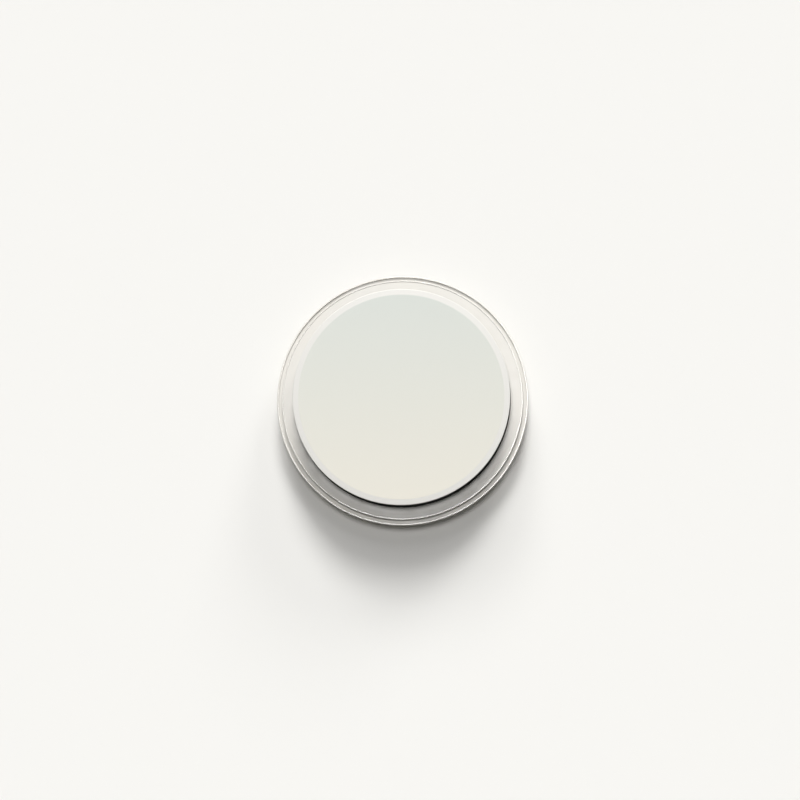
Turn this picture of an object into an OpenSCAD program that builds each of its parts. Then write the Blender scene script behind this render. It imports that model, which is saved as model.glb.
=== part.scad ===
// Round wet palette, closed: a dish holds a wet sponge and a membrane, a collar clamps the
// membrane down, and a lid with a silicone band plugs the collar's mouth.
// Millimetres, +Z up, origin on the ground plane at the centre of the palette.

/* [Palette] */
// Outer diameter of the dish at its rim
dish_d = 130; // [120:0.5:150]
// Overall height, from the foot pads to the top of the closed lid
palette_h = 28; // [26:0.5:34]
// Height of the lid above the mouth of the collar
lid_rise = 12; // [9:0.25:13]

/* [Dish] */
// Thickness of the dish's wall and floor
dish_wall = 2; // [1.6:0.1:2.4]
// Thickness of the thin lip along the dish's rim
rim_lip = 0.8; // [0.6:0.1:1.2]
// Distance that the dish's rim lies below the mouth of the collar
rim_drop = 2.5; // [1.6:0.1:3.2]
// Width of the shallow groove between the collar and the dish's rim
groove_w = 1.8; // [1.4:0.1:3]
// Depth of the groove below the dish's rim
groove_depth = 0.8; // [0.3:0.1:1.2]
// Thickness of the dish's flange, with its lip
flange_t = 1.8; // [1.5:0.1:2.6]
// Overhang of the dish's flange beyond its side
flange_w = 1.4; // [1:0.1:2]
// Inward slope of the dish's side, from the flange to the base
dish_draft = 1.8; // [1:0.2:2.4]
// Radius round the bottom edge of the dish
base_r = 3.5; // [1:0.25:4]
// Distance from the foot pads to the edge of the shallow panel under the dish
panel_gap = 6; // [3:0.5:12]
// Depth of the shallow panel under the dish
panel_depth = 0.5; // [0.3:0.1:0.8]
// Width of the ledge that carries the membrane's edge
ledge_w = 4.2; // [3:0.1:5]

/* [Sponge and membrane] */
// Thickness of the wet sponge
sponge_t = 5; // [3:0.5:7]
// Gap round the sponge, for pouring water in
sponge_gap = 0.8; // [0.5:0.1:2]
// Radius round the sponge's edges
sponge_edge_r = 1.2; // [0.5:0.1:2]
// Thickness of the membrane sheet
membrane_t = 0.3; // [0.2:0.05:0.5]
// Distance from the membrane's edge to the wall of its seat
membrane_gap = 0.6; // [0.4:0.1:1.5]

/* [Collar] */
// Width of the collar's sloping shoulder, from its lip to the land round its mouth
shoulder_w = 5.4; // [4:0.1:6]
// Width of the flat land round the mouth of the collar
land_w = 1.6; // [1.4:0.1:2.2]
// Width of the land that shows round the closed lid
land_reveal = 0.2; // [0.1:0.05:0.4]
// Fall of the collar's shoulder, from the land to its lip
shoulder_fall = 0.2; // [0.1:0.1:1.2]
// Thickness of the thin lip along the collar's edge
collar_lip = 0.8; // [0.6:0.1:1.2]
// Height of the lip above the outer end of the shoulder
lip_rise = 0.4; // [0.2:0.1:0.6]
// Height of the lip's outer edge
lip_h = 1.6; // [1.2:0.1:2]
// Overhang of the lip beyond the collar's body
lip_overhang = 0.8; // [0.5:0.1:1]
// Width of the step from the collar's body in to its spigot's socket
socket_step = 1; // [0.6:0.1:1.5]
// Thickness of the ring seal in the collar's spigot
seal_t = 1.6; // [1.2:0.1:2]
// Depth of the seal's groove
seal_groove = 1.3; // [1:0.1:1.6]

/* [Lid] */
// Width of the rounded border of the lid's disc
border_w = 3; // [2:0.1:5]
// Fall of the rounded border
border_fall = 0.6; // [0.4:0.1:1.4]
// Height of the lid's straight edge below the border
edge_h = 0.6; // [0.4:0.1:1]
// Depth of the lid's plug inside the mouth of the collar
plug_depth = 5; // [4:0.25:6]
// Thickness of the inner pan of the lid
pan_wall = 1.8; // [1.4:0.1:2.2]
// Thickness of the silicone band on the lid's plug
band_t = 1.3; // [1:0.1:1.6]
// Height of the sealing ribs on the silicone band
rib_h = 0.6; // [0.4:0.05:0.8]
// Number of sealing ribs
rib_count = 2; // [1:1:3]
// Radius inside the corner of the lid's pan
pan_corner_r = 2; // [1:0.25:4]

/* [Foot pads] */
// Diameter of each foot pad
pad_d = 10; // [6:0.5:12]
// Height of the foot pads below the dish
pad_stand = 0.8; // [0.5:0.1:1.5]
// Depth of each pad's recess in the dish's floor
pad_recess = 0.6; // [0.4:0.1:1]
// Distance from the side of the dish's base to the centre of each pad
pad_inset = 13; // [10:0.5:16]

/* [Fits] */
// Radial clearance of the collar's spigot in the dish
collar_fit = 0.2; // [0.15:0.05:0.3]
// Radial clearance of the silicone seals, in the collar's bore and in the dish's socket
seal_fit = 0.1; // [0.05:0.01:0.15]
// Clearance between parts that come close and don't seat
clear = 0.3; // [0.2:0.05:0.4]

/* [Hidden] */
$fn = 96;

// Length by which a cutting shape runs past the face it cuts
over = 1;

// Heights, from the ground up
base_z = pad_stand;
floor_z = base_z + dish_wall;
ledge_z = floor_z + sponge_t;
membrane_z = ledge_z + membrane_t;
mouth_z = palette_h - lid_rise;
rim_z = mouth_z - rim_drop;
groove_z = rim_z - groove_depth;

// Radii, inwards from the dish's rim
dish_r = dish_d / 2;
groove_outer_r = dish_r - rim_lip;
collar_r = groove_outer_r - groove_w;
collar_body_r = collar_r - lip_overhang;
socket_r = collar_body_r - socket_step;
spigot_r = socket_r - collar_fit;
well_r = socket_r - ledge_w;
land_r = collar_r - collar_lip - shoulder_w;
bore_r = land_r - land_w;
lid_r = land_r - land_reveal;

// The underside
base_outer_r = dish_r - flange_w - dish_draft;
pad_reach = base_outer_r - pad_inset;
panel_r = pad_reach - pad_d / 2 - panel_gap;

// The collar's shoulder and lip
shoulder_z = mouth_z - shoulder_fall;
lip_top_z = shoulder_z + lip_rise;
lip_low_z = lip_top_z - lip_h;
seal_z = (membrane_z + groove_z - seal_t) / 2;

// The lid
cap_edge_z = palette_h - border_fall;
cap_low_z = cap_edge_z - edge_h;
border_r = (border_w * border_w + border_fall * border_fall) / (2 * border_fall);
plug_z = mouth_z - plug_depth;
rib_tip_r = bore_r - seal_fit;
band_r = rib_tip_r - rib_h;
pan_r = band_r - band_t;
bead_r = band_r - clear;
bead_h = 1;
rib_pitch = (plug_depth - bead_h) / rib_count;
rib_w = rib_pitch / 2;
pan_inner_r = pan_r - pan_wall;
pan_ceiling_z = cap_low_z - pan_wall;

module turned() {
    rotate_extrude() children();
}

// A rectangle from radius r0 to r1 and from height z0 to z1
module band(r0, r1, z0, z1) {
    translate([r0, z0]) square([r1 - r0, z1 - z0]);
}

module foot_pad_at(i) {
    rotate([0, 0, 45 + 90 * i])
        translate([pad_reach, 0, 0])
            children();
}

// The dish: base, water well, membrane ledge, collar socket, finger groove and rim
module dish() {
    color([0.93, 0.92, 0.89]) difference() {
        turned() dish_profile();
        for (i = [0:3]) foot_pad_at(i) pad_pocket();
        translate([0, 0, base_z - over]) cylinder(r = panel_r, h = over + panel_depth);
    }
}

module dish_profile() {
    difference() {
        union() {
            polygon([
                [0, base_z],
                [base_outer_r - base_r, base_z],
                [base_outer_r, base_z + base_r],
                [dish_r - flange_w, rim_z - flange_t],
                [dish_r, rim_z - flange_t],
                [dish_r, rim_z - rim_lip / 2],
                [0, rim_z - rim_lip / 2]
            ]);
            translate([base_outer_r - base_r, base_z + base_r]) circle(r = base_r);
            translate([dish_r - rim_lip / 2, rim_z - rim_lip / 2]) circle(d = rim_lip);
        }
        band(-over, well_r, floor_z, palette_h);
        band(-over, socket_r, ledge_z, palette_h);
        band(-over, groove_outer_r, groove_z, rim_z - rim_lip / 2);
        band(-over, dish_r - rim_lip, rim_z - rim_lip / 2, palette_h);
    }
}

module pad_pocket() {
    translate([0, 0, base_z - over])
        cylinder(d = pad_d, h = over + pad_recess);
}

module foot_pad(i) {
    color([0.16, 0.16, 0.17]) foot_pad_at(i)
        cylinder(d = pad_d, h = base_z + pad_recess);
}

// The sponge fills the well and soaks up the water
module sponge() {
    r = well_r - sponge_gap;
    color([0.93, 0.86, 0.55]) turned() {
        band(0, r - sponge_edge_r, floor_z, ledge_z);
        band(r - sponge_edge_r - over, r, floor_z + sponge_edge_r, ledge_z - sponge_edge_r);
        for (z = [floor_z + sponge_edge_r, ledge_z - sponge_edge_r])
            intersection() {
                translate([r - sponge_edge_r, z]) circle(r = sponge_edge_r);
                band(r - sponge_edge_r - over, r, floor_z, ledge_z);
            }
    }
}

// The membrane lies on the sponge, with its edge on the ledge
module membrane() {
    color([0.96, 0.95, 0.90]) translate([0, 0, ledge_z])
        cylinder(r = socket_r - membrane_gap, h = membrane_t, $fn = 160);
}

// The collar: mouth and bore for the lid, sloping shoulder, thin lip, and a spigot that
// clamps the membrane on its ledge
module collar() {
    color([0.93, 0.92, 0.89]) turned() difference() {
        union() {
            polygon([
                [bore_r, membrane_z],
                [spigot_r, membrane_z],
                [spigot_r, groove_z + clear],
                [collar_body_r, groove_z + clear],
                [collar_body_r, lip_low_z],
                [collar_r, lip_low_z + lip_overhang / 2],
                [collar_r, lip_top_z - collar_lip / 2],
                [collar_r - collar_lip, lip_top_z - collar_lip / 2],
                [collar_r - collar_lip, shoulder_z],
                [land_r, mouth_z],
                [bore_r, mouth_z]
            ]);
            translate([collar_r - collar_lip / 2, lip_top_z - collar_lip / 2])
                circle(d = collar_lip);
        }
        band(spigot_r - seal_groove, spigot_r + over, seal_z, seal_z + seal_t);
    }
}

// The ring seal between the collar's spigot and the dish's socket
module collar_seal() {
    color([0.12, 0.12, 0.13]) turned()
        band(spigot_r - seal_groove, socket_r - seal_fit, seal_z, seal_z + seal_t);
}

// The lid's disc, with a wide rounded border
module lid_cap() {
    color([0.91, 0.90, 0.86]) turned() intersection() {
        union() {
            band(0, lid_r - border_w, cap_low_z, palette_h);
            translate([lid_r - border_w, palette_h - border_r]) circle(r = border_r, $fn = 200);
        }
        band(0, lid_r, cap_low_z, palette_h);
    }
}

// The inner pan under the disc: a plug that carries the silicone band
module lid_pan() {
    color([0.95, 0.95, 0.93]) turned() difference() {
        union() {
            band(0, pan_r, plug_z, cap_low_z);
            band(0, bead_r, plug_z, plug_z + bead_h);
        }
        difference() {
            band(-over, pan_inner_r, plug_z - over, pan_ceiling_z);
            translate([pan_inner_r - pan_corner_r, pan_ceiling_z - pan_corner_r]) pan_corner();
        }
    }
}

// The square corner of the pan's hollow that its radius leaves as plastic
module pan_corner() {
    difference() {
        square(pan_corner_r + over);
        circle(r = pan_corner_r);
    }
}

// The black silicone band: a thick upper part flush with the disc, and ribs that seal the bore
module lid_gasket() {
    color([0.05, 0.05, 0.05]) turned() {
        band(pan_r, lid_r, mouth_z, cap_low_z);
        band(pan_r, band_r, plug_z + bead_h, mouth_z + over);
        for (i = [0:rib_count - 1])
            translate([0, -i * rib_pitch])
                band(pan_r, rib_tip_r, mouth_z - 1.5 * rib_w, mouth_z - 0.5 * rib_w);
    }
}

dish();
foot_pad(0);  // foot_pad_1
foot_pad(1);  // foot_pad_2
foot_pad(2);  // foot_pad_3
foot_pad(3);  // foot_pad_4
sponge();
membrane();
collar();
collar_seal();
lid_cap();
lid_pan();
lid_gasket();
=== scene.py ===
# %% [markdown]
# # A round wet palette
# A wet palette keeps paint moist. A dish holds a soaked sponge, and a thin membrane lies on
# the sponge. A collar drops into the dish and clamps the membrane's edge. A lid with a black
# silicone band then plugs the collar's mouth. Here the palette stands closed on a pale table.
# The solids of the construction model give the main sizes and every place. This lesson makes
# the same pieces again with soft corners and real finishes, and lays each on its own body.

# %% Load the solids
import math

import bpy
from mathutils import Matrix, Vector


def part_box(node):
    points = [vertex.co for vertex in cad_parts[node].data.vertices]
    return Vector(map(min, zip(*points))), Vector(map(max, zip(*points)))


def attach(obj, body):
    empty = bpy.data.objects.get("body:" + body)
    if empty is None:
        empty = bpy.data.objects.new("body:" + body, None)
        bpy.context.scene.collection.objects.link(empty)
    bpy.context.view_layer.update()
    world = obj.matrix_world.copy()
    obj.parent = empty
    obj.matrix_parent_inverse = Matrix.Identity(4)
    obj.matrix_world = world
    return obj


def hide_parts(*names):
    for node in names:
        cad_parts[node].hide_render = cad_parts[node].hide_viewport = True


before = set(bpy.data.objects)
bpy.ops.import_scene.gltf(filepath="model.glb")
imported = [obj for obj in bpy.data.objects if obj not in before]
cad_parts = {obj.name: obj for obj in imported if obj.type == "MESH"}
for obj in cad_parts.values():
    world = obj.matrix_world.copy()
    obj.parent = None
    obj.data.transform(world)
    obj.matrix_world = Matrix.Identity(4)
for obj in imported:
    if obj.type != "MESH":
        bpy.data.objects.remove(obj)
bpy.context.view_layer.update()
print("solids:", sorted(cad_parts))

# %% [markdown]
# ## Sizes
# Blender works in metres here, and the sizes of small mouldings are easier to read in
# millimetres, so lengths are written as a number times MM. The main sizes are read from the
# solids. A box gives only the outside of a piece, so the sizes inside it, such as a bore, are
# worked out inwards from there, as the person who drew the palette would have done.

# %% Main sizes
MM = 0.001


def radius_of(solid):
    """Outer radius of a turned solid that stands on the axis."""
    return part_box(solid)[1].x


def heights_of(solid):
    """Lowest and highest level of a solid."""
    low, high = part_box(solid)
    return low.z, high.z


dish_radius = radius_of("dish")
base_level, rim_level = heights_of("dish")
collar_radius = radius_of("collar")
collar_foot, mouth_level = heights_of("collar")
lid_radius = radius_of("lid_cap")
disc_underside, lid_top = heights_of("lid_cap")
pan_foot = heights_of("lid_pan")[0]
seal_foot, seal_head = heights_of("collar_seal")
sponge_radius = radius_of("sponge")
sponge_foot, sponge_top = heights_of("sponge")
membrane_radius = radius_of("membrane")
print("across the rim:", round(dish_radius * 2 / MM, 2), "mm, height:", round(lid_top / MM, 2), "mm")

# %% [markdown]
# ## Camera
# The camera looks almost straight down, eight degrees off the upright, with a long lens, so
# circles stay nearly round and only a thin crescent of each lower edge shows. It stands a
# little to the right, and its picture's upward direction is kept along +Y. A Track To
# constraint would turn the picture along with the camera, so the camera's three axes are
# worked out here and written into its matrix.

# %% Place the camera
VIEW_AZIMUTH = math.radians(20)
VIEW_ELEVATION = math.radians(82)
VIEW_DISTANCE = 2.297
VIEW_LENS = 200
VIEW_REACH = 60
VIEW_TARGET = Vector((-1.24 * MM, -0.05 * MM, mouth_level - MM))

towards_camera = Vector(
    (
        math.sin(VIEW_AZIMUTH) * math.cos(VIEW_ELEVATION),
        -math.cos(VIEW_AZIMUTH) * math.cos(VIEW_ELEVATION),
        math.sin(VIEW_ELEVATION),
    )
)
picture_right = Vector((0, 1, 0)).cross(towards_camera).normalized()
picture_up = towards_camera.cross(picture_right)
camera_matrix = Matrix((picture_right, picture_up, towards_camera)).transposed().to_4x4()
camera_matrix.translation = VIEW_TARGET + towards_camera * VIEW_DISTANCE

bpy.ops.object.camera_add()
camera = bpy.context.object
camera.name = "overhead_camera"
camera.data.lens = VIEW_LENS
camera.data.clip_end = VIEW_REACH
camera.matrix_world = camera_matrix
bpy.context.scene.camera = camera
bpy.context.scene.view_settings.view_transform = "Standard"
print("camera stands at", tuple(round(c, 3) for c in camera.matrix_world.translation))

# %% [markdown]
# ## Table top and light
# The palette stands on a pale matt table in soft light. Each lamp is a sun with a wide disc,
# because a wide disc gives a soft edge to a shadow, and a sun lights the table evenly from
# edge to edge. Every lamp is given as its share of the light that falls on the table, so that
# the balance can be changed and the table stays as bright. The largest is the key, on the far
# side, which throws the short dark shadow towards the viewer. The overhead lamp keeps the near
# side of the collar from going black, the high lamp grades the shadow between those two, and
# two low lamps, one on each side of the key, make a faint longer shadow that fans out. Light
# from the key and the low lamps doesn't bounce. If it did, it would draw a bright halo on the
# table along the dish's far side, where a photographer would hang a black flag.

# %% Lay the table top
TABLE_WIDTH = 60
TABLE_COLOUR = (0.860, 0.851, 0.822, 1)
TABLE_BRIGHTNESS = 0.96

bpy.ops.object.select_all(action="DESELECT")
bpy.ops.mesh.primitive_plane_add(size=TABLE_WIDTH)
table = bpy.context.object
table.name = "table_top"
table_paint = bpy.data.materials.new("table_paint")
table_paint.use_nodes = True
table_shader = table_paint.node_tree.nodes["Principled BSDF"]
table_shader.inputs["Base Color"].default_value = TABLE_COLOUR
table_shader.inputs["Roughness"].default_value = 0.9
table_shader.inputs["Specular IOR Level"].default_value = 0.0
table.data.materials.append(table_paint)
print(table.name, "is", TABLE_WIDTH, "m wide")

# %% Hang the lamps
table_light = math.pi * TABLE_BRIGHTNESS / TABLE_COLOUR[0]


def add_lamp(name, azimuth, elevation, half_width, share, bounces):
    """A sun with a wide disc. Azimuth 0 is the far side, +Y, and 90 is the right, +X."""
    turn = math.radians(azimuth)
    rise = math.radians(elevation)
    to_lamp = Vector(
        (math.sin(turn) * math.cos(rise), math.cos(turn) * math.cos(rise), math.sin(rise))
    )
    bpy.ops.object.light_add(type="SUN", rotation=to_lamp.to_track_quat("Z", "Y").to_euler())
    lamp = bpy.context.object
    lamp.name = name
    lamp.data.angle = math.radians(2 * half_width)
    lamp.data.energy = table_light * share / math.sin(rise)
    lamp.data.cycles.max_bounces = bounces


# Name, azimuth, elevation and half width in degrees, share of the light, bounces.
LAMPS = [
    ("overhead_lamp", -12, 85, 7, 0.27, 8),
    ("high_lamp", 0, 52, 9, 0.11, 8),
    ("key_lamp", 4, 37, 9, 0.33, 0),
    ("low_lamp_left", -12, 25, 8, 0.13, 0),
    ("low_lamp_right", 25, 18, 8, 0.09, 0),
]
for lamp_facts in LAMPS:
    add_lamp(*lamp_facts)
print("lamps:", len(LAMPS), "with", round(sum(facts[4] for facts in LAMPS), 2), "of the light")

# %% [markdown]
# The rest of the light comes from the room. It is dim overhead, and pale and bright along the
# horizon, as a studio's curved paper background is, so a low view has something plain behind
# the palette.

# %% Light the room
ROOM_LIGHT = (0.048, 0.048, 0.048, 1)
HORIZON_LIGHT = (0.90, 0.893, 0.875, 1)
HORIZON_HEAD = 0.02
ROOM_FOOT = 0.16

world = bpy.data.worlds.new("paper_room")
bpy.context.scene.world = world
world.use_nodes = True
sky = world.node_tree
direction = sky.nodes.new("ShaderNodeTexCoord")
height_split = sky.nodes.new("ShaderNodeSeparateXYZ")
fall_off = sky.nodes.new("ShaderNodeMapRange")
fall_off.interpolation_type = "SMOOTHSTEP"
fall_off.inputs["From Min"].default_value = HORIZON_HEAD
fall_off.inputs["From Max"].default_value = ROOM_FOOT
room_mix = sky.nodes.new("ShaderNodeMix")
room_mix.data_type = "RGBA"
room_mix.inputs["A"].default_value = HORIZON_LIGHT
room_mix.inputs["B"].default_value = ROOM_LIGHT
sky.links.new(direction.outputs["Generated"], height_split.inputs[0])
sky.links.new(height_split.outputs["Z"], fall_off.inputs["Value"])
sky.links.new(fall_off.outputs["Result"], room_mix.inputs["Factor"])
sky.links.new(room_mix.outputs["Result"], sky.nodes["Background"].inputs["Color"])
print("room light:", ROOM_LIGHT[:3], "overhead and", HORIZON_LIGHT[:3], "at the horizon")

# %% [markdown]
# ## How a turned piece is made
# Every piece of this palette is round, so half of its section says all about it. It could be
# spun round the axis with Spin. Here it is grown instead, because each step can then be
# watched: a circle is laid at the first corner of the section, and its edge is extruded and
# resized from corner to corner. A solid starts as a filled disc, whose face travels along to
# become the far end, so its section begins and ends a little way from the axis. A ring starts
# as an open circle and ends where it began, and there the two ends are merged.
#
# Moulded parts have no sharp corners, so each corner of a section is given with a radius. The
# helper puts an arc there, and a guard point just past each end of the arc. The guards keep
# the flat stretches flat when the piece is shaded smooth.

# %% Round the corners of a section
ARC_STEP = math.radians(15)
GUARD = 0.12 * MM


def corner_arc(before, corner, after, radius):
    """Points round one corner of a section, from guard point to guard point."""
    back = before - corner
    ahead = after - corner
    half = back.angle(ahead) / 2
    reach = radius / math.tan(half)
    if reach >= min(back.length, ahead.length):
        raise ValueError(f"a radius of {radius / MM:.2f} mm is too large at {tuple(corner / MM)}")
    back_dir = back.normalized()
    ahead_dir = ahead.normalized()
    centre = corner + (back_dir + ahead_dir).normalized() * (radius / math.sin(half))
    start = corner + back_dir * reach - centre
    turn = start.angle_signed(corner + ahead_dir * reach - centre)
    steps = max(2, math.ceil(abs(turn) / ARC_STEP))
    points = [corner + back_dir * (reach + GUARD)]
    for step in range(steps + 1):
        points.append(centre + Matrix.Rotation(-turn * step / steps, 2) @ start)
    points.append(corner + ahead_dir * (reach + GUARD))
    return points


def rounded(corners, closed=False):
    """A section's points. A corner is (radius from the axis, height, corner radius)."""
    flat = [Vector(corner[:2]) for corner in corners]
    points = []
    for i, corner in enumerate(corners):
        inner = closed or 0 < i < len(corners) - 1
        if inner and corner[2] > 0:
            points += corner_arc(flat[i - 1], flat[i], flat[(i + 1) % len(flat)], corner[2])
        else:
            points.append(flat[i])
    return points


print("arc steps of", round(math.degrees(ARC_STEP)), "degrees")

# %% [markdown]
# An operator acts on all that is selected, and loading the solids left them selected. So three
# small helpers come first. One leaves nothing selected, one selects a single piece, and one
# adds a modifier to a piece and applies it, so that the mesh is the finished shape.

# %% Select one piece, and apply a modifier


def deselect_all():
    """Nothing selected, in object mode, so that the next operator acts on one piece alone."""
    if bpy.context.object and bpy.context.object.mode != "OBJECT":
        bpy.ops.object.mode_set(mode="OBJECT")
    bpy.ops.object.select_all(action="DESELECT")


def select_only(piece):
    """Selects one piece alone and makes it the active one."""
    deselect_all()
    piece.select_set(True)
    bpy.context.view_layer.objects.active = piece


def apply_modifier(piece, kind, **settings):
    """Adds a modifier, sets it, and applies it to the mesh."""
    select_only(piece)
    modifier = piece.modifiers.new(kind.lower(), kind)
    for name, value in settings.items():
        setattr(modifier, name, value)
    bpy.ops.object.modifier_apply(modifier=modifier.name)


deselect_all()
print("selected:", len(bpy.context.selected_objects))

# %% [markdown]
# The next helper grows a piece. Its doubles are merged before its normals are turned outwards,
# because Blender can only tell the outside of a closed mesh. Shading is smooth across shallow
# angles alone, so the arcs look round, and an edge that is meant to be sharp stays crisp.

# %% Grow a piece from its section
SIDES = 240
SMOOTH_BELOW = math.radians(32)
MERGE_BELOW = 0.001 * MM


def grow(name, section, ring=False, sides=SIDES):
    """A piece turned round the axis: a solid, or a ring whose section closes on itself."""
    deselect_all()
    first = section[0]
    bpy.ops.mesh.primitive_circle_add(
        vertices=sides,
        radius=first.x,
        fill_type="NOTHING" if ring else "NGON",
    )
    piece = bpy.context.object
    piece.name = name
    bpy.ops.object.mode_set(mode="EDIT")
    bpy.ops.mesh.select_all(action="SELECT")
    bpy.ops.transform.translate(value=(0, 0, first.y))
    path = section[1:] + ([first] if ring else [])
    here = first
    for point in path:
        bpy.ops.mesh.extrude_region_move(
            TRANSFORM_OT_translate={"value": (0, 0, point.y - here.y)}
        )
        scale = point.x / here.x
        bpy.ops.transform.resize(value=(scale, scale, 1), center_override=(0, 0, point.y))
        here = point
    bpy.ops.mesh.select_all(action="SELECT")
    bpy.ops.mesh.remove_doubles(threshold=MERGE_BELOW)
    bpy.ops.mesh.normals_make_consistent(inside=False)
    bpy.ops.object.mode_set(mode="OBJECT")
    bpy.ops.object.shade_smooth_by_angle(angle=SMOOTH_BELOW)
    print(f"{name}: {len(section)} points in its section, {len(piece.data.polygons)} faces")
    return piece


print("a turned piece has", SIDES, "sides")

# %% [markdown]
# ## The lid's disc
# The disc is the face of the palette. Its middle is a flat field with a fine texture, and
# round it runs a smooth border that falls by 0.3 millimetres to a short upright edge. The
# fall is small, but it draws the line between the two finishes. A bevel could make it too,
# but the section gives the border its exact width.

# %% Grow the disc
AXIS = 1.2 * MM
BORDER_WIDTH = 3.0 * MM
BORDER_FALL = 0.3 * MM
FIELD_EDGE = lid_radius - BORDER_WIDTH

disc_section = rounded(
    [
        (AXIS, lid_top, 0),
        (FIELD_EDGE, lid_top, 4.0 * MM),
        (lid_radius, lid_top - BORDER_FALL, 0.25 * MM),
        (lid_radius, disc_underside, 0.15 * MM),
        (AXIS, disc_underside, 0),
    ]
)
lid_disc = grow("lid_disc", disc_section)

# %% [markdown]
# ## The silicone band
# The band is one ring of black silicone, stretched over the lid's pan. Above the mouth of the
# collar it is thick and flush with the disc. Inside the mouth it is thin, and carries two
# wiper ribs with round noses that seal against the bore. The ribs are placed by a loop, so
# another number of ribs is one change away.

# %% Grow the band
THICK_BAND = 3.4 * MM
THIN_BAND = 1.3 * MM
BEAD_HEIGHT = 1.0 * MM
RIB_COUNT = 2
RIB_PITCH = 2.0 * MM
RIB_HALF = 0.5 * MM
RIB_NOSE = 0.6 * RIB_HALF
RIB_SETBACK = 1.5 * MM
PAN_RADIUS = lid_radius - THICK_BAND
BAND_RADIUS = PAN_RADIUS + THIN_BAND
BAND_FOOT = pan_foot + BEAD_HEIGHT
RIB_REACH = radius_of("lid_gasket") - RIB_SETBACK

band_corners = [
    (PAN_RADIUS, disc_underside, 0),
    (lid_radius, disc_underside, 0.2 * MM),
    (lid_radius, mouth_level, 0.3 * MM),
    (BAND_RADIUS, mouth_level, 0.12 * MM),
]
for rib in range(RIB_COUNT):
    middle = mouth_level - (rib + 0.5) * RIB_PITCH
    band_corners += [
        (BAND_RADIUS, middle + RIB_HALF, 0.08 * MM),
        (RIB_REACH, middle + RIB_NOSE, 0.2 * MM),
        (RIB_REACH, middle - RIB_NOSE, 0.2 * MM),
        (BAND_RADIUS, middle - RIB_HALF, 0.08 * MM),
    ]
band_corners += [
    (BAND_RADIUS, BAND_FOOT, 0.12 * MM),
    (PAN_RADIUS, BAND_FOOT, 0),
]
lid_band = grow("lid_band", rounded(band_corners, closed=True), ring=True)

# %% [markdown]
# ## The lid's pan
# The pan is the white cup under the disc. It makes the lid stiff, and turned over it serves
# as a tray. A bead round its foot keeps the silicone band from rolling off, and its inner
# corner is round so that paint can be wiped out. The small raised spot in the middle is the
# gate mark where the plastic was let into the mould.

# %% Grow the pan
PAN_WALL = 1.8 * MM
PAN_CEILING = disc_underside - PAN_WALL
PAN_BORE = PAN_RADIUS - PAN_WALL
BEAD_SETBACK = 0.3 * MM
BEAD_RADIUS = BAND_RADIUS - BEAD_SETBACK
GATE_RADIUS = 1.8 * MM
GATE_TAPER = 0.2 * MM
GATE_HEIGHT = 0.3 * MM

pan_section = rounded(
    [
        (AXIS, disc_underside, 0),
        (PAN_RADIUS, disc_underside, 0.3 * MM),
        (PAN_RADIUS, BAND_FOOT, 0.1 * MM),
        (BEAD_RADIUS, BAND_FOOT, 0.2 * MM),
        (BEAD_RADIUS, pan_foot, 0.45 * MM),
        (PAN_BORE, pan_foot, 0.7 * MM),
        (PAN_BORE, PAN_CEILING, 2.0 * MM),
        (GATE_RADIUS, PAN_CEILING, 0.12 * MM),
        (GATE_RADIUS - GATE_TAPER, PAN_CEILING - GATE_HEIGHT, 0.1 * MM),
        (AXIS, PAN_CEILING - GATE_HEIGHT, 0),
    ]
)
lid_inner_pan = grow("lid_inner_pan", pan_section)

# %% [markdown]
# ## The collar
# The collar is the wide pale ring round the lid. A narrow flat land surrounds its mouth, then
# a nearly flat shoulder runs out to a thin raised lip. Under the lip it steps in to the spigot
# that slides into the dish, with a groove for the ring seal. The lip stands only a fifth of a
# millimetre above the shoulder's foot. Its top falls outwards by about three degrees. On the
# near side that slope mirrors the overhead lamp to the viewer, as a thin bright line, and on
# the far side it turns the mirror away. The dish's lip has the same slope.

# %% Grow the collar
LAND_MARGIN = 0.2 * MM
LAND_WIDTH = 1.6 * MM
LAND_EDGE = lid_radius + LAND_MARGIN
BORE_RADIUS = LAND_EDGE - LAND_WIDTH
SHOULDER_FALL = 0.2 * MM
SHOULDER_FOOT = mouth_level - SHOULDER_FALL
BEND_REACH = 2.6 * MM
BEND_FALL = 0.07 * MM
COLLAR_LIP = 0.8 * MM
LIP_RISE = 0.2 * MM
LIP_SLOPE = 0.035 * MM
LIP_DEPTH = 1.6 * MM
LIP_CHAMFER = 0.4 * MM
LIP_LEAN = 0.1 * MM
LIP_TOP = SHOULDER_FOOT + LIP_RISE
LIP_FOOT = LIP_TOP - LIP_DEPTH
BODY_RADIUS = collar_radius - COLLAR_LIP
SPIGOT_STEP = 1.2 * MM
SPIGOT_RADIUS = BODY_RADIUS - SPIGOT_STEP
GROOVE_DEPTH = 0.8 * MM
GROOVE_LEVEL = rim_level - GROOVE_DEPTH
BODY_GAP = 0.3 * MM
BODY_FOOT = GROOVE_LEVEL + BODY_GAP
SEAL_WALL = 1.4 * MM
SEAL_BED = radius_of("collar_seal") - SEAL_WALL

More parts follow.
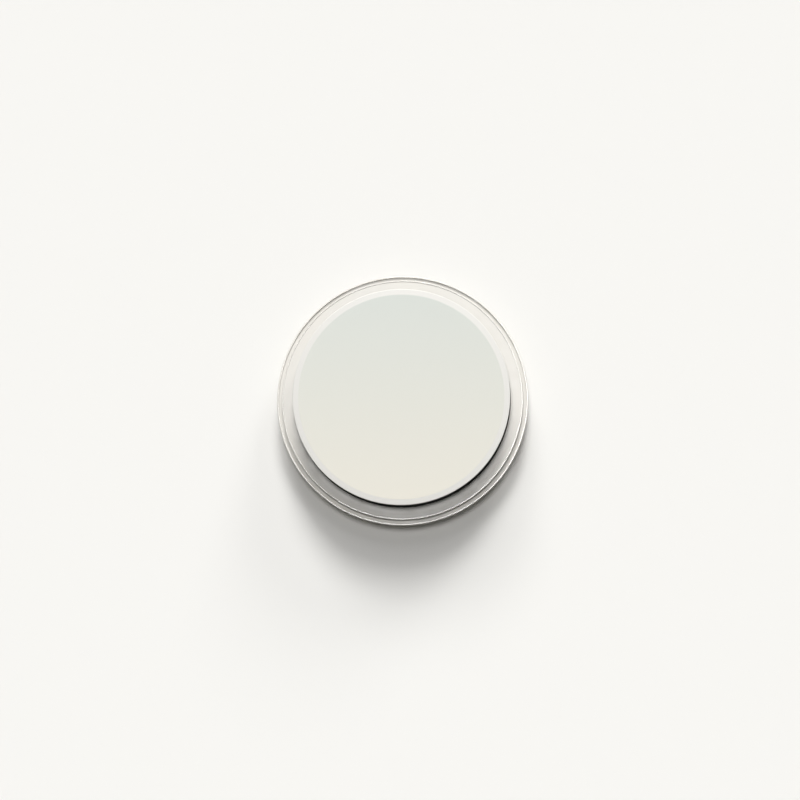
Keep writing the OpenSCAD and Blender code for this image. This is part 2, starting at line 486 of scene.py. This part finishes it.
collar_section = rounded(
    [
        (BORE_RADIUS, collar_foot, 0.3 * MM),
        (SPIGOT_RADIUS, collar_foot, 0.4 * MM),
        (SPIGOT_RADIUS, seal_foot, 0.12 * MM),
        (SEAL_BED, seal_foot, 0.12 * MM),
        (SEAL_BED, seal_head, 0.12 * MM),
        (SPIGOT_RADIUS, seal_head, 0.12 * MM),
        (SPIGOT_RADIUS, BODY_FOOT, 0.15 * MM),
        (BODY_RADIUS, BODY_FOOT, 0.2 * MM),
        (BODY_RADIUS, LIP_FOOT, 0.1 * MM),
        (collar_radius, LIP_FOOT + LIP_CHAMFER, 0.25 * MM),
        (collar_radius, LIP_TOP - LIP_SLOPE, 0.25 * MM),
        (BODY_RADIUS + LIP_LEAN, LIP_TOP, 0.08 * MM),
        (BODY_RADIUS, SHOULDER_FOOT, 0.06 * MM),
        (BODY_RADIUS - BEND_REACH, mouth_level - BEND_FALL, 8.0 * MM),
        (LAND_EDGE, mouth_level, 0.8 * MM),
        (BORE_RADIUS, mouth_level, 0.4 * MM),
    ],
    closed=True,
)
collar_ring = grow("collar_ring", collar_section, ring=True)

# %% [markdown]
# ## The ring seal
# A small black ring sits in the spigot's groove and rubs on the dish, so that the sponge
# doesn't dry out. Its outer side has two round lips with a hollow between them, which need
# less force to push in than one flat side does.

# %% Grow the ring seal
SEAL_RADIUS = radius_of("collar_seal")
SEAL_GAP = 0.05 * MM
SEAL_HOLLOW = 0.25 * MM
SEAL_LIP_RISE = 0.45 * MM
seal_middle = (seal_foot + seal_head) / 2

seal_section = rounded(
    [
        (SEAL_BED + SEAL_GAP, seal_foot + SEAL_GAP, 0.1 * MM),
        (SEAL_RADIUS - SEAL_HOLLOW, seal_foot + SEAL_GAP, 0.1 * MM),
        (SEAL_RADIUS, seal_middle - SEAL_LIP_RISE, 0.1 * MM),
        (SEAL_RADIUS - SEAL_HOLLOW, seal_middle, 0.1 * MM),
        (SEAL_RADIUS, seal_middle + SEAL_LIP_RISE, 0.1 * MM),
        (SEAL_RADIUS - SEAL_HOLLOW, seal_head - SEAL_GAP, 0.1 * MM),
        (SEAL_BED + SEAL_GAP, seal_head - SEAL_GAP, 0.1 * MM),
    ],
    closed=True,
)
ring_seal = grow("ring_seal", seal_section, ring=True)

# %% [markdown]
# ## The dish
# The dish is the largest moulding. From the middle outwards its section is: the well for the
# sponge, the ledge for the membrane, the socket for the collar, a shallow groove, and a
# flange with a thin lip. Outside, the wall leans in to a well rounded base. The middle of the
# base is drawn up a little, so that the dish never rocks on a bulge.

# %% Grow the dish
RIM_LIP = 0.8 * MM
LIP_INSIDE = dish_radius - RIM_LIP
SOCKET_GAP = 0.2 * MM
SOCKET_RADIUS = SPIGOT_RADIUS + SOCKET_GAP
LEDGE_WIDTH = 4.2 * MM
WELL_RADIUS = SOCKET_RADIUS - LEDGE_WIDTH
WELL_FLOOR = sponge_foot
LEDGE_LEVEL = sponge_top
FLANGE_DEPTH = 1.8 * MM
FLANGE_UNDERSIDE = rim_level - FLANGE_DEPTH
HEAD_SETBACK = 1.4 * MM
FOOT_SETBACK = 4.05 * MM
WALL_HEAD = dish_radius - HEAD_SETBACK
WALL_FOOT = dish_radius - FOOT_SETBACK
PANEL_RADIUS = 37.8 * MM
PANEL_SLOPE = 0.6 * MM
PANEL_DEPTH = 0.5 * MM

dish_section = rounded(
    [
        (AXIS, WELL_FLOOR, 0),
        (WELL_RADIUS, WELL_FLOOR, 0.8 * MM),
        (WELL_RADIUS, LEDGE_LEVEL, 0.3 * MM),
        (SOCKET_RADIUS, LEDGE_LEVEL, 0.3 * MM),
        (SOCKET_RADIUS, GROOVE_LEVEL, 0.3 * MM),
        (LIP_INSIDE, GROOVE_LEVEL, 0.12 * MM),
        (LIP_INSIDE, rim_level, 0.15 * MM),
        (dish_radius, rim_level - LIP_SLOPE, 0.25 * MM),
        (dish_radius, FLANGE_UNDERSIDE, 0.4 * MM),
        (WALL_HEAD, FLANGE_UNDERSIDE, 0.5 * MM),
        (WALL_FOOT, base_level, 3.5 * MM),
        (PANEL_RADIUS, base_level, 0.3 * MM),
        (PANEL_RADIUS - PANEL_SLOPE, base_level + PANEL_DEPTH, 0.3 * MM),
        (AXIS, base_level + PANEL_DEPTH, 0),
    ]
)
dish_shell = grow("dish_shell", dish_section)

# %% [markdown]
# ## Foot pads and their pockets
# Four soft pads keep the dish from sliding. A pad is a disc with a round edge and a shallow
# dimple, which grips a smooth table. It is made once, at the middle, and each of the four
# copies gets its own mesh and is moved to where the solid says. Each sits in a pocket a
# little wider than itself, and the pockets are cut with a Boolean, which is the plainest way
# to put an off-centre hole in a turned piece.

# %% Make one pad and copy it
pad_solids = ["foot_pad_1", "foot_pad_2", "foot_pad_3", "foot_pad_4"]
pad_low, pad_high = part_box(pad_solids[0])
PAD_RADIUS = (pad_high.x - pad_low.x) / 2
PAD_SIDES = 72
PAD_AXIS = 0.3 * MM
PAD_TAPER = 0.08 * MM
DIMPLE_RADIUS = 2.6 * MM
DIMPLE_SLOPE = 0.6 * MM
DIMPLE_DEPTH = 0.15 * MM

pad_section = rounded(
    [
        (PAD_AXIS, DIMPLE_DEPTH, 0),
        (DIMPLE_RADIUS, DIMPLE_DEPTH, 0.3 * MM),
        (DIMPLE_RADIUS + DIMPLE_SLOPE, 0, 0.3 * MM),
        (PAD_RADIUS - PAD_TAPER, 0, 0.45 * MM),
        (PAD_RADIUS, pad_high.z, 0.1 * MM),
        (PAD_AXIS, pad_high.z, 0),
    ]
)
first_pad = grow("foot_pad", pad_section, sides=PAD_SIDES)


def middle_of(solid):
    """The point on the ground below the middle of a solid."""
    low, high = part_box(solid)
    return Vector(((low.x + high.x) / 2, (low.y + high.y) / 2, 0))


def copy_to(piece, name, place):
    """A copy with its own mesh, moved inside the mesh so that its object stays at the origin."""
    select_only(piece)
    bpy.ops.object.duplicate()
    made = bpy.context.object
    made.name = name
    bpy.ops.transform.translate(value=place)
    bpy.ops.object.transform_apply(location=True, rotation=False, scale=False)
    return made


foot_pads = [copy_to(first_pad, f"soft_pad_{i + 1}", middle_of(s)) for i, s in enumerate(pad_solids)]
bpy.data.objects.remove(first_pad)
print("pads:", [pad.name for pad in foot_pads])

# %% Cut the pockets
POCKET_GAP = 0.15 * MM
POCKET_START = base_level - 1.0 * MM


def pocket_cutter(number, solid):
    """A plug as wide as the pocket, from below the base to the head of the pad."""
    deselect_all()
    depth = pad_high.z - POCKET_START
    middle = middle_of(solid) + Vector((0, 0, POCKET_START + depth / 2))
    bpy.ops.mesh.primitive_cylinder_add(
        vertices=PAD_SIDES, radius=PAD_RADIUS + POCKET_GAP, depth=depth, location=middle
    )
    bpy.context.object.name = f"pocket_cutter_{number}"
    return bpy.context.object


for number, solid in enumerate(pad_solids):
    cutter = pocket_cutter(number, solid)
    apply_modifier(dish_shell, "BOOLEAN", operation="DIFFERENCE", solver="EXACT", object=cutter)
    bpy.data.objects.remove(cutter)
select_only(dish_shell)
bpy.ops.object.shade_smooth_by_angle(angle=SMOOTH_BELOW)
print("dish after its pockets:", len(dish_shell.data.polygons), "faces")

# %% [markdown]
# ## The sponge
# The sponge is a disc of open-cell foam. A cut block of foam isn't stuffed, so no cloth
# simulation is needed. It starts as a turned disc with round edges, which is remeshed into
# small even cells, so that there is enough mesh everywhere to sink pores into.

# %% Grow and remesh the sponge
SPONGE_EDGE = 1.2 * MM
SPONGE_SIDES = 120
FOAM_CELL = 0.9 * MM

sponge_section = rounded(
    [
        (AXIS, sponge_foot, 0),
        (sponge_radius, sponge_foot, SPONGE_EDGE),
        (sponge_radius, sponge_top, SPONGE_EDGE),
        (AXIS, sponge_top, 0),
    ]
)
wet_sponge = grow("wet_sponge", sponge_section, sides=SPONGE_SIDES)
apply_modifier(wet_sponge, "REMESH", mode="VOXEL", voxel_size=FOAM_CELL, use_smooth_shade=True)
print("wet_sponge:", len(wet_sponge.data.polygons), "faces after Remesh")

# %% [markdown]
# Displace then works with two textures. Clouds give large soft hollows, and a Voronoi pattern
# gives the pores. The middle level is 1, so the surface sinks nearly everywhere. The extra
# contrast lifts the walls between the pores, by little more than a tenth of a millimetre.

# %% Sink the pores
PORE_SIZE = 2.6 * MM
PORE_DEPTH = 0.7 * MM
PORE_CONTRAST = 1.2
HOLLOW_SIZE = 14 * MM
HOLLOW_DEPTH = 0.35 * MM

pore_texture = bpy.data.textures.new("foam_pores", "VORONOI")
pore_texture.noise_scale = PORE_SIZE
pore_texture.noise_intensity = PORE_CONTRAST
hollow_texture = bpy.data.textures.new("foam_hollows", "CLOUDS")
hollow_texture.noise_scale = HOLLOW_SIZE
for texture, depth in ((hollow_texture, HOLLOW_DEPTH), (pore_texture, PORE_DEPTH)):
    apply_modifier(
        wet_sponge, "DISPLACE", texture=texture, texture_coords="LOCAL", mid_level=1.0, strength=depth
    )
print("wet_sponge:", len(wet_sponge.data.polygons), "faces after its pores")

# %% [markdown]
# ## The membrane
# The membrane is a round sheet of thin paper that was cut flat and laid on the wet sponge. A
# single round face could not bend. So Inset cuts it into many narrow rings, from the edge to
# the middle, which gives a later modifier something to move.

# %% Lay the membrane
SHEET_GAP = 0.05 * MM
SHEET_RINGS = 42

ring_width = (membrane_radius - AXIS) / SHEET_RINGS


def lay_sheet(name, radius, level):
    """A flat round sheet, cut into even rings from its edge to its middle."""
    deselect_all()
    bpy.ops.mesh.primitive_circle_add(vertices=SIDES, radius=radius, fill_type="NGON")
    made = bpy.context.object
    made.name = name
    bpy.ops.object.mode_set(mode="EDIT")
    bpy.ops.mesh.select_all(action="SELECT")
    bpy.ops.transform.translate(value=(0, 0, level))
    for _ in range(SHEET_RINGS):
        bpy.ops.mesh.inset(thickness=ring_width * math.cos(math.pi / SIDES))
    bpy.ops.mesh.select_all(action="SELECT")
    bpy.ops.mesh.normals_make_consistent(inside=False)
    bpy.ops.object.mode_set(mode="OBJECT")
    return made


membrane_sheet = lay_sheet("membrane_sheet", membrane_radius, sponge_top + SHEET_GAP)
print("membrane_sheet:", len(membrane_sheet.data.polygons), "faces, in rings of", SIDES)

# %% [markdown]
# The sheet's edge is clamped between the ledge and the collar, so it stays flat there. Inside,
# it cockles a little, as damp paper does. A cloth simulation would have nothing to do here,
# because a sheet that lies on foam doesn't hang. Displace makes the low waves, and a vertex
# group, whose weight falls to nothing towards the edge, holds the clamped part still. Solidify
# then gives the paper its thickness.

# %% Cockle the membrane
MEMBRANE_THICKNESS = 0.2 * MM
COCKLE_SIZE = 17 * MM
COCKLE_HEIGHT = 0.4 * MM
CLAMP_MARGIN = 1.0 * MM
FREE_MARGIN = 9.0 * MM
CLAMPED_FROM = BORE_RADIUS - CLAMP_MARGIN
FREE_TO = BORE_RADIUS - FREE_MARGIN

free_area = membrane_sheet.vertex_groups.new(name="free")
for vertex in membrane_sheet.data.vertices:
    reach = math.hypot(vertex.co.x, vertex.co.y)
    weight = (CLAMPED_FROM - reach) / (CLAMPED_FROM - FREE_TO)
    free_area.add([vertex.index], min(1.0, max(0.0, weight)), "REPLACE")

cockle_texture = bpy.data.textures.new("paper_cockle", "CLOUDS")
cockle_texture.noise_scale = COCKLE_SIZE
cockle_texture.noise_depth = 1
apply_modifier(
    membrane_sheet,
    "DISPLACE",
    texture=cockle_texture,
    texture_coords="LOCAL",
    direction="Z",
    vertex_group="free",
    mid_level=0.0,
    strength=COCKLE_HEIGHT,
)
apply_modifier(membrane_sheet, "SOLIDIFY", thickness=MEMBRANE_THICKNESS, offset=1.0)
select_only(membrane_sheet)
bpy.ops.object.shade_smooth_by_angle(angle=SMOOTH_BELOW)
sheet_low = min(v.co.z for v in membrane_sheet.data.vertices)
sheet_high = max(v.co.z for v in membrane_sheet.data.vertices)
print("membrane from", round(sheet_low / MM, 2), "to", round(sheet_high / MM, 2), "mm")

# %% [markdown]
# ## Finishes
# Every finish is worked out from the place of each point on the piece, in Object coordinates,
# so nothing slides when a piece moves and no picture is needed. Noise comes at three scales:
# a broad one shifts the colour a little, a middle one changes how glossy the surface is, and
# a fine one makes the grain that a mould leaves.

# %% Start a finish


def new_finish(name):
    """A material, its node tree and its shader."""
    finish = bpy.data.materials.new(name)
    finish.use_nodes = True
    return finish, finish.node_tree, finish.node_tree.nodes["Principled BSDF"]


def add_node(tree, kind, values=(), **settings):
    """A node with its settings, and with values for its inputs by name."""
    made = tree.nodes.new(kind)
    for name, value in settings.items():
        setattr(made, name, value)
    for name, value in values:
        made.inputs[name].default_value = value
    return made


print("a finish can be started")

# %% [markdown]
# Two helpers make a pattern. The grain is noise of a given size, and its values crowd round a
# half. So the second one spreads the middle of that range over the values that are wanted.

# %% Grain, and how far it spreads


def grain(tree, size, detail=2.0, roughness=0.5):
    """Noise whose features are about size across. Gives its factor, from 0 to 1."""
    place = add_node(tree, "ShaderNodeTexCoord")
    noise = add_node(
        tree, "ShaderNodeTexNoise", (("Scale", 1 / size), ("Detail", detail), ("Roughness", roughness))
    )
    tree.links.new(place.outputs["Object"], noise.inputs["Vector"])
    return noise.outputs["Fac"]


def spread(tree, factor, low, high, start=0.3, end=0.7):
    """A factor between start and end, spread from low to high."""
    mapped = add_node(
        tree,
        "ShaderNodeMapRange",
        (("From Min", start), ("From Max", end), ("To Min", low), ("To Max", high)),
    )
    tree.links.new(factor, mapped.inputs["Value"])
    return mapped.outputs["Result"]


print("grain and spread are ready")

# %% [markdown]
# A pattern can turn into a colour, or switch a finish over to a fixed value, or stand out as a
# relief. The relief is a bump, which is right for grain that is finer than any mesh. Two of
# them can be laid over each other, such as a fine grain on a long wave.

# %% Colour, switch and relief


def tint(tree, factor, first, second):
    """A colour that goes from first to second with the factor."""
    mix = add_node(tree, "ShaderNodeMix", data_type="RGBA")
    mix.inputs["A"].default_value = (*first, 1)
    mix.inputs["B"].default_value = (*second, 1)
    tree.links.new(factor, mix.inputs["Factor"])
    return mix.outputs["Result"]


def blend_of(tree, factor, first, second, kind):
    """Goes from a first output to a fixed second value, a colour or a number, with the factor."""
    mix = add_node(tree, "ShaderNodeMix", data_type=kind)
    mix.inputs["B"].default_value = second
    tree.links.new(factor, mix.inputs["Factor"])
    tree.links.new(first, mix.inputs["A"])
    return mix.outputs["Result"]


def relief(tree, height, depth, under=None, strength=None):
    """A bump of that depth, laid over another bump, and fading with a strength, if given."""
    bump = add_node(tree, "ShaderNodeBump", (("Strength", 1.0), ("Distance", depth)))
    tree.links.new(height, bump.inputs["Height"])
    if strength:
        tree.links.new(strength, bump.inputs["Strength"])
    if under:
        tree.links.new(under, bump.inputs["Normal"])
    return bump.outputs["Normal"]


print("colour, switch and relief are ready")

# %% [markdown]
# Every piece is turned, so where one finish ends and another starts is a distance from the
# axis. It is the length of the point's place once the height is taken out.

# %% Reach from the axis


def reach_from_axis(tree):
    """How far a point is from the palette's axis, in metres."""
    place = add_node(tree, "ShaderNodeTexCoord")
    level = add_node(tree, "ShaderNodeVectorMath", operation="MULTIPLY")
    level.inputs[1].default_value = (1, 1, 0)
    reach = add_node(tree, "ShaderNodeVectorMath", operation="LENGTH")
    tree.links.new(place.outputs["Object"], level.inputs[0])
    tree.links.new(level.outputs["Vector"], reach.inputs[0])
    return reach.outputs["Value"]


print("reach from the axis is ready")

# %% [markdown]
# ### Moulded shells
# The dish and the collar are a warm white plastic. The mould was spark-eroded, which leaves
# an even satin skin. The colour drifts by a percent or two where the plastic flowed, and
# handling has polished small patches. Only the thin lips are polished. They could be separate
# materials, but one finish that changes with the reach from the axis needs no seam: there the
# roughness drops and the strength of the grain fades out.

# %% Finish of the dish and the collar
WARM_WHITE = (0.742, 0.714, 0.656)
COOL_WHITE = (0.724, 0.701, 0.650)
LIP_GLOSS = 0.12
LIP_FADE = 0.1 * MM


def satin_shell(name, lip_from, gloss_low, gloss_high):
    """Satin plastic up to a reach from the axis, and a polished lip past it."""
    finish, tree, shader = new_finish(name)
    drift = spread(tree, grain(tree, 22 * MM, 3.0), 0, 1)
    tree.links.new(tint(tree, drift, WARM_WHITE, COOL_WHITE), shader.inputs["Base Color"])
    reach = reach_from_axis(tree)
    on_lip = spread(tree, reach, 0, 1, lip_from - LIP_FADE, lip_from)
    off_lip = spread(tree, reach, 1, 0, lip_from - LIP_FADE, lip_from)
    handling = spread(tree, grain(tree, 6 * MM, 4.0, 0.6), gloss_low, gloss_high)
    tree.links.new(blend_of(tree, on_lip, handling, LIP_GLOSS, "FLOAT"), shader.inputs["Roughness"])
    waves = relief(tree, grain(tree, 9 * MM, 1.0), 0.02 * MM)
    skin = relief(tree, grain(tree, 0.28 * MM, 2.0), 0.012 * MM, waves, off_lip)
    tree.links.new(skin, shader.inputs["Normal"])
    return finish


collar_plastic = satin_shell("collar_plastic", BODY_RADIUS, 0.34, 0.44)
dish_plastic = satin_shell("dish_plastic", LIP_INSIDE, 0.34, 0.46)
print("shell finishes:", collar_plastic.name, dish_plastic.name)

# %% [markdown]
# ### The disc's two finishes
# One moulding, two finishes: the field has a fine matt grain that hides fingerprints, and the
# border was left smoother. Across the field the colour goes from a cool grey at the far side to
# a warm cream at the near side: a painted reflection of the room that a satin face mirrors. The
# switch between the finishes is made by reach from the axis, so it lies where the border starts
# to fall.

# %% Finish of the lid's disc
FIELD_FAR_PAINTED_REFLECTION = (0.662, 0.688, 0.644)
FIELD_NEAR_PAINTED_REFLECTION = (0.752, 0.723, 0.640)
BORDER_COLOUR = (0.735, 0.721, 0.683, 1)
BORDER_GLOSS = 0.42

lid_plastic, tree, shader = new_finish("lid_plastic")
place = add_node(tree, "ShaderNodeTexCoord")
place_parts = add_node(tree, "ShaderNodeSeparateXYZ")
tree.links.new(place.outputs["Object"], place_parts.inputs[0])
# Painted reflection: the field's colour goes from cool at the far side to warm at the near side.
across = spread(tree, place_parts.outputs["Y"], 0, 1, FIELD_EDGE, -FIELD_EDGE)
field_colour_and_painted_reflection = tint(tree, across, FIELD_FAR_PAINTED_REFLECTION, FIELD_NEAR_PAINTED_REFLECTION)
on_border = spread(tree, reach_from_axis(tree), 0, 1, FIELD_EDGE, FIELD_EDGE + 0.15 * MM)
disc_colour = blend_of(tree, on_border, field_colour_and_painted_reflection, BORDER_COLOUR, "RGBA")
tree.links.new(disc_colour, shader.inputs["Base Color"])

matt_field = spread(tree, grain(tree, 5 * MM, 4.0, 0.6), 0.58, 0.68)
disc_gloss = blend_of(tree, on_border, matt_field, BORDER_GLOSS, "FLOAT")
tree.links.new(disc_gloss, shader.inputs["Roughness"])
disc_waves = relief(tree, grain(tree, 11 * MM, 1.0), 0.015 * MM)
disc_skin = relief(tree, grain(tree, 0.22 * MM, 2.0), 0.012 * MM, disc_waves)
tree.links.new(disc_skin, shader.inputs["Normal"])
shader.inputs["Specular IOR Level"].default_value = 0.25
print("disc finish:", lid_plastic.name)

# %% [markdown]
# ### The pan's plastic
# The pan is white and glossy, because paint must wipe off it. Moulded gloss is never quite
# flat, so a long shallow wave bends its reflections, and a few stains of thinned paint leave
# it a little duller here and there.

# %% Finish of the pan
PAN_WHITE = (0.84, 0.84, 0.82)
PAN_SHADE = (0.80, 0.80, 0.78)

pan_plastic, tree, shader = new_finish("pan_plastic")
pan_drift = spread(tree, grain(tree, 30 * MM, 2.0), 0, 1)
tree.links.new(tint(tree, pan_drift, PAN_WHITE, PAN_SHADE), shader.inputs["Base Color"])
tree.links.new(spread(tree, grain(tree, 8 * MM, 5.0, 0.65), 0.12, 0.26), shader.inputs["Roughness"])
tree.links.new(relief(tree, grain(tree, 14 * MM, 1.0), 0.03 * MM), shader.inputs["Normal"])
print("pan finish:", pan_plastic.name)

# %% [markdown]
# ### Black rubber
# The band, the ring seal and the pads are black. Silicone is matt and takes dust, so a fine
# noise lifts its colour in specks, and it hardly shines: at a grazing angle an ordinary
# plastic would look grey, so its specular level is low.

# %% Finish of the band, the seal and the pads
BAND_BLACK = (0.003, 0.0027, 0.0025)
BAND_DUST = (0.011, 0.0105, 0.01)
SEAL_BLACK = (0.012, 0.012, 0.012)
SEAL_DUST = (0.03, 0.03, 0.028)
PAD_BLACK = (0.02, 0.02, 0.02)
PAD_DUST = (0.06, 0.058, 0.055)


def black_rubber(name, black, dusty, specular, grain_size):
    """Matt black rubber with specks of dust and a grain of that size."""
    finish, tree, shader = new_finish(name)
    dust = spread(tree, grain(tree, 0.8 * MM, 6.0, 0.7), 0, 1, 0.55, 0.85)
    tree.links.new(tint(tree, dust, black, dusty), shader.inputs["Base Color"])
    tree.links.new(spread(tree, grain(tree, 4 * MM, 3.0), 0.62, 0.8), shader.inputs["Roughness"])
    tree.links.new(relief(tree, grain(tree, grain_size, 2.0), 0.02 * MM), shader.inputs["Normal"])
    shader.inputs["Specular IOR Level"].default_value = specular
    return finish


band_silicone = black_rubber("band_silicone", BAND_BLACK, BAND_DUST, 0.04, 0.5 * MM)
seal_silicone = black_rubber("seal_silicone", SEAL_BLACK, SEAL_DUST, 0.25, 0.4 * MM)
pad_rubber = black_rubber("pad_rubber", PAD_BLACK, PAD_DUST, 0.3, 0.3 * MM)
print("rubber finishes:", band_silicone.name, seal_silicone.name, pad_rubber.name)

# %% [markdown]
# ### Foam
# Wet foam is yellow. The pores that were sunk into its mesh are the large ones. The small ones
# are cells of a Voronoi pattern here, which gives a relief, and a painted shade that turns the
# colour brown at the bottom of each small pore, where the relief sinks deepest.

# %% Finish of the sponge
FOAM_YELLOW = (0.80, 0.66, 0.26)
PORE_PAINTED_SHADE = (0.36, 0.24, 0.06)
FINE_PORE = 1.1 * MM

sponge_foam, tree, shader = new_finish("sponge_foam")
place = add_node(tree, "ShaderNodeTexCoord")
pores = add_node(tree, "ShaderNodeTexVoronoi", (("Scale", 1 / FINE_PORE),))
tree.links.new(place.outputs["Object"], pores.inputs["Vector"])
# Painted shade: the colour turns brown where the relief of a small pore is lowest.
painted_pore_shade = spread(tree, pores.outputs["Distance"], 1, 0, 0.1, 0.6)
tree.links.new(tint(tree, painted_pore_shade, FOAM_YELLOW, PORE_PAINTED_SHADE), shader.inputs["Base Color"])
tree.links.new(spread(tree, grain(tree, 3 * MM, 3.0), 0.7, 0.95), shader.inputs["Roughness"])
tree.links.new(relief(tree, pores.outputs["Distance"], 0.3 * MM), shader.inputs["Normal"])
print("foam finish:", sponge_foam.name)

# %% [markdown]
# ### Paper
# The membrane is a damp paper that lets some light through. Its fibres are a noise that is
# stretched one way, and broad soft stains show where water has soaked in.

# %% Finish of the membrane
DRY_PAPER = (0.86, 0.82, 0.70)
DAMP_PAPER = (0.74, 0.69, 0.54)
FIBRE_SIZE = 0.35 * MM
FIBRE_STRETCH = (1, 0.12, 1)
FIBRE_TURN = (0, 0, 0.4)

membrane_paper, tree, shader = new_finish("membrane_paper")
place = add_node(tree, "ShaderNodeTexCoord")
stretch = add_node(tree, "ShaderNodeMapping", (("Scale", FIBRE_STRETCH), ("Rotation", FIBRE_TURN)))
tree.links.new(place.outputs["Object"], stretch.inputs["Vector"])
fibres = add_node(tree, "ShaderNodeTexNoise", (("Scale", 1 / FIBRE_SIZE), ("Detail", 4.0)))
tree.links.new(stretch.outputs["Vector"], fibres.inputs["Vector"])
damp = spread(tree, grain(tree, 24 * MM, 4.0, 0.6), 0, 1, 0.35, 0.7)
damp_paper = tint(tree, damp, DRY_PAPER, DAMP_PAPER)
fibre_tone = spread(tree, fibres.outputs["Fac"], 0.93, 1.0)
fibred = add_node(tree, "ShaderNodeVectorMath", operation="SCALE")
tree.links.new(damp_paper, fibred.inputs[0])
tree.links.new(fibre_tone, fibred.inputs["Scale"])
tree.links.new(fibred.outputs["Vector"], shader.inputs["Base Color"])
tree.links.new(spread(tree, damp, 0.62, 0.32, 0, 1), shader.inputs["Roughness"])
tree.links.new(relief(tree, fibres.outputs["Fac"], 0.02 * MM), shader.inputs["Normal"])
shader.inputs["Subsurface Weight"].default_value = 0.15
shader.inputs["Subsurface Scale"].default_value = 1.0 * MM
print("paper finish:", membrane_paper.name)

# %% [markdown]
# ## Put the palette together
# Each piece gets its finish, stands for its solid, and rides on the body that the solid rides
# on. The dish, its pads, the sponge and the membrane stay on the table. The collar lifts with
# its seal, and the lid's three pieces lift together.


def fit(piece, solid, body, finish):
    """The piece takes its finish, stands for the solid and moves with the body."""
    piece.data.materials.clear()
    piece.data.materials.append(finish)
    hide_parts(solid)
    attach(piece, body)


fit(dish_shell, "dish", "dish_body", dish_plastic)
for pad, solid in zip(foot_pads, pad_solids):
    fit(pad, solid, "dish_body", pad_rubber)
fit(wet_sponge, "sponge", "dish_body", sponge_foam)
fit(membrane_sheet, "membrane", "dish_body", membrane_paper)
fit(collar_ring, "collar", "collar_body", collar_plastic)
fit(ring_seal, "collar_seal", "collar_body", seal_silicone)
fit(lid_disc, "lid_cap", "lid_body", lid_plastic)
fit(lid_inner_pan, "lid_pan", "lid_body", pan_plastic)
fit(lid_band, "lid_gasket", "lid_body", band_silicone)
